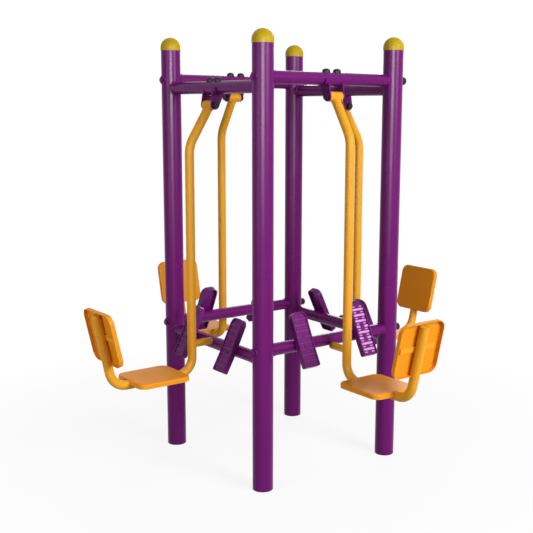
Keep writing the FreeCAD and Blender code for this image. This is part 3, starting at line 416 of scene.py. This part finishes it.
# Foot pedals
# Cast trays with a turned-up rim and a tread of raised bars, with two short level dashes between each
# two bars. The same purple coat over the casting's slightly uneven skin; on one pedal the tread is painted
# pale lilac, a painted highlight that stands for the lamps' reflection on it.
PEDAL_SIDE = 0.215
PEDAL_TILT = math.radians(25.5)
PEDAL_RISE = 0.012
PLATE_FRONT = 0.066
TREAD_TOP = 0.152
TREAD_HALF_WIDTH = 0.046
BAR_COUNT = 8
BAR_PITCH = 0.034
BAR_HALF_WIDTH, BAR_PROUD = 0.0066, 0.0046
DASH_NEAR, DASH_FAR = 0.016, 0.036
DASH_HALF_WIDTH, DASH_PROUD = 0.0034, 0.0036
RIDGE_STEPS, RIDGE_SIDES = 25, 16
RIDGE_CORNER = 0.6
RIDGE_END = 12
HEEL_LINE = -0.0473
HEEL_BEND = math.radians(3)
SCREW_ROWS = (0.018, -0.042)
SCREW_CLEAR = 0.013
pedal_coat = powder_coat("gloss purple powder coat on a casting", "#742276", "#621A64", 0.28)
dress([f"foot_pedal_{station}_{side}" for station in STATIONS for side in "ab"], pedal_coat)
tread_coat = powder_coat("purple powder coat on a raised tread", "#80307F", "#6C2870", 0.26)
# A pale lilac coat for one pedal's tread: a painted highlight, the lamps' reflection painted into the
# colour.
painted_highlight_coat = powder_coat("purple powder coat rubbed pale on the tread", "#E3AEE3", "#BE84C2", 0.22)


def tread_ridge(station, middle, start, end, half_width, height):
    """A raised ridge on the pedal's plate from start to end, each given across and up the plate: a rounded
    square, x = a cos v and y = b sin v with both drawn outward, carried along the line and closed in at
    its ends."""
    share = np.linspace(0, 1, RIDGE_STEPS)
    taper = (1 - np.abs(2 * share - 1) ** RIDGE_END)[:, None] ** 0.5
    turn = np.linspace(0, 2 * np.pi, RIDGE_SIDES, endpoint=False)
    circle = np.stack([np.cos(turn), np.sin(turn)])
    square = np.abs(circle) ** RIDGE_CORNER * np.sign(circle)
    side = (start[0] + (end[0] - start[0]) * share)[:, None]
    row = (start[1] + (end[1] - start[1]) * share)[:, None] + half_width * taper * square[0]
    heel = np.maximum(0, (HEEL_LINE - row) * math.tan(HEEL_BEND))
    proud = PLATE_FRONT + heel + height * taper * square[1]
    up_face = row + PEDAL_RISE
    out = HALF_SPACING + proud * math.cos(PEDAL_TILT) - up_face * math.sin(PEDAL_TILT)
    up = BEAM_HEIGHTS[1] + lift(station) + proud * math.sin(PEDAL_TILT) + up_face * math.cos(PEDAL_TILT)
    return at_station(station, out, middle + side, up)


def tread_lines():
    """The bars, and above and below each a pair of short dashes, as (start, end, half width, height). A bar
    that would cover a screw's head is broken there."""
    lines = []
    for number in range(BAR_COUNT):
        row = TREAD_TOP - BAR_PITCH * (number + 1)
        screwed = min(abs(row - screw) for screw in SCREW_ROWS) < SCREW_CLEAR
        spans = [(-TREAD_HALF_WIDTH, TREAD_HALF_WIDTH)]
        if screwed:
            spans = [(-TREAD_HALF_WIDTH, -SCREW_CLEAR), (SCREW_CLEAR, TREAD_HALF_WIDTH)]
        lines += [((low, row), (high, row), BAR_HALF_WIDTH, BAR_PROUD) for low, high in spans]
    for number in range(BAR_COUNT + 1):
        row = TREAD_TOP - BAR_PITCH * (number + 0.5)
        for sign in (-1, 1):
            lines.append(((sign * DASH_NEAR, row), (sign * DASH_FAR, row), DASH_HALF_WIDTH, DASH_PROUD))
    return lines


for station in STATIONS:
    for side_name, side_sign in (("a", 1), ("b", -1)):
        ridges = [tread_ridge(station, side_sign * PEDAL_SIDE, *line) for line in tread_lines()]
        # The front right pedal's first tread gets the painted highlight coat; the others get the plain
        # tread coat.
        coat = painted_highlight_coat if (station, side_name) == ("front_right", "a") else tread_coat
        put_surface(f"pedal_tread_{station}_{side_name}", ridges, False, coat, "frame")

# Pedal screws
# Two screws hold each pedal to its pad, with round heads sunk in the tray and coated with it.
dress(["pedal_screws"], pedal_coat)

# Floor, air and lamps
# A pale floor that runs out into white, and soft lamps of a plain studio: a large one high to the right
# of the camera, weak ones on the left and behind the frame, and a wide panel behind the camera that only
# shows as a reflection.
FLOOR_REACH = 60
FADE_START, FADE_END = 1.0, 3.0
NEAR_WHITE = 0.86
AIR_STRENGTH = 0.29
WHITE = (1, 1, 1, 1)
scene = bpy.context.scene
scene.view_settings.view_transform = "Standard"
floor_mesh = bpy.data.meshes.new("floor")
floor_corners = [(sign_x * FLOOR_REACH, sign_y * FLOOR_REACH, 0) for sign_x, sign_y in CORNERS.values()]
floor_mesh.from_pydata(floor_corners, [], [(0, 1, 2, 3)])
floor = bpy.data.objects.new("floor", floor_mesh)
scene.collection.objects.link(floor)


def seen_directly(owner):
    """1 for rays from the camera, from a mirror-like surface or through glass, and 0 for light that
    spreads."""
    path = add(owner, "LightPath", {})
    either = add(owner, "Math", {0: path.outputs["Is Camera Ray"], 1: path.outputs["Is Glossy Ray"]},
                 operation="MAXIMUM").outputs[0]
    return add(owner, "Math", {0: either, 1: path.outputs["Is Transmission Ray"]},
               operation="MAXIMUM").outputs[0]


floor_paint = new_material("matt white studio floor")
floor_spot = add(floor_paint, "TexCoord", {}).outputs["Object"]
from_middle = add(floor_paint, "VectorMath", {0: floor_spot}, operation="LENGTH").outputs["Value"]
fade = add(floor_paint, "MapRange", {"Value": from_middle, "From Min": FADE_START, "From Max": FADE_END,
                                     "To Min": NEAR_WHITE, "To Max": 1.0},
           interpolation_type="SMOOTHSTEP").outputs["Result"]
floor_seen = seen_directly(floor_paint)
whiten = add(floor_paint, "Math", {0: fade, 1: floor_seen}, operation="MULTIPLY").outputs[0]
shade = add(floor_paint, "Mix", {SHARE: floor_seen, FIRST: linear("#9A9A9A"), SECOND: linear("#F4F4F4")},
            data_type="RGBA").outputs[MIXED]
matt = add(floor_paint, "BsdfDiffuse", {"Color": shade}).outputs["BSDF"]
glow = add(floor_paint, "Emission", {"Color": WHITE, "Strength": 1.0}).outputs["Emission"]
floor_mix = add(floor_paint, "MixShader", {0: whiten, 1: matt, 2: glow})
add(floor_paint, "OutputMaterial", {"Surface": floor_mix.outputs[0]})
floor_mesh.materials.append(floor_paint)

air = bpy.data.worlds.new("studio_air")
air.use_nodes = True
air.node_tree.nodes.clear()
soft_air = add(air, "Background", {"Color": WHITE, "Strength": AIR_STRENGTH}).outputs[0]
white_air = add(air, "Background", {"Color": WHITE, "Strength": 1.0}).outputs[0]
air_mix = add(air, "MixShader", {0: seen_directly(air), 1: soft_air, 2: white_air})
add(air, "OutputWorld", {"Surface": air_mix.outputs[0]})
scene.world = air


def hang_lamp(name, place, aim, width, height, watts):
    """A rectangular soft lamp that faces its aim."""
    light = bpy.data.lights.new(name, "AREA")
    light.shape = "RECTANGLE"
    light.size, light.size_y = width, height
    light.energy = watts
    lamp = bpy.data.objects.new(name, light)
    lamp.location = place
    way = np.array(aim) - np.array(place)
    rise = math.atan2(way[2], math.hypot(way[0], way[1]))
    heading = math.atan2(way[1], way[0])
    lamp.rotation_euler = (math.pi / 2 + rise, 0, heading - math.pi / 2)
    lamp.visible_camera = False
    scene.collection.objects.link(lamp)
    return lamp


hang_lamp("lamp_right", place=(1.6, -9.0, 4.4), aim=(0, 0, 1.2), width=4.0, height=4.0, watts=930)
hang_lamp("lamp_left", place=(-4.4, -0.8, 1.9), aim=(-0.5, 0, 1.2), width=2.0, height=2.0, watts=52)
hang_lamp("lamp_back", place=(5.6, 5.6, 4.0), aim=(0, 0, 1.2), width=3.0, height=3.0, watts=190)
panel = hang_lamp("lamp_panel", place=(-4.2, -5.6, 2.6), aim=(0, 0, 2.6), width=3.2, height=2.0, watts=720)
panel.visible_diffuse = False

# Camera
# Where the photograph was taken from, worked out from its posts.
PHOTO_WIDTH = 533
FOCAL_PIXELS = 933.0
SHIFT_PIXELS = (29.9, 7.6)
SENSOR_WIDTH = 36
CAMERA_PLACE = (-3.3390, -4.4212, 2.0792)
YAW, PITCH, ROLL = math.radians(51.9), 0.1758, math.radians(0.38)
view = bpy.data.cameras.new("photo_view")
view.sensor_width = SENSOR_WIDTH
view.lens = FOCAL_PIXELS / PHOTO_WIDTH * SENSOR_WIDTH
view.shift_x, view.shift_y = -SHIFT_PIXELS[0] / PHOTO_WIDTH, SHIFT_PIXELS[1] / PHOTO_WIDTH
camera = bpy.data.objects.new("photo_view", view)
turn_to_frame = Matrix.Rotation(YAW - math.pi / 2, 4, "Z")
tip_down = Matrix.Rotation(math.pi / 2 - PITCH, 4, "X")
lean_over = Matrix.Rotation(ROLL, 4, "Z")
camera.matrix_world = Matrix.Translation(CAMERA_PLACE) @ turn_to_frame @ tip_down @ lean_over
scene.collection.objects.link(camera)
scene.camera = camera
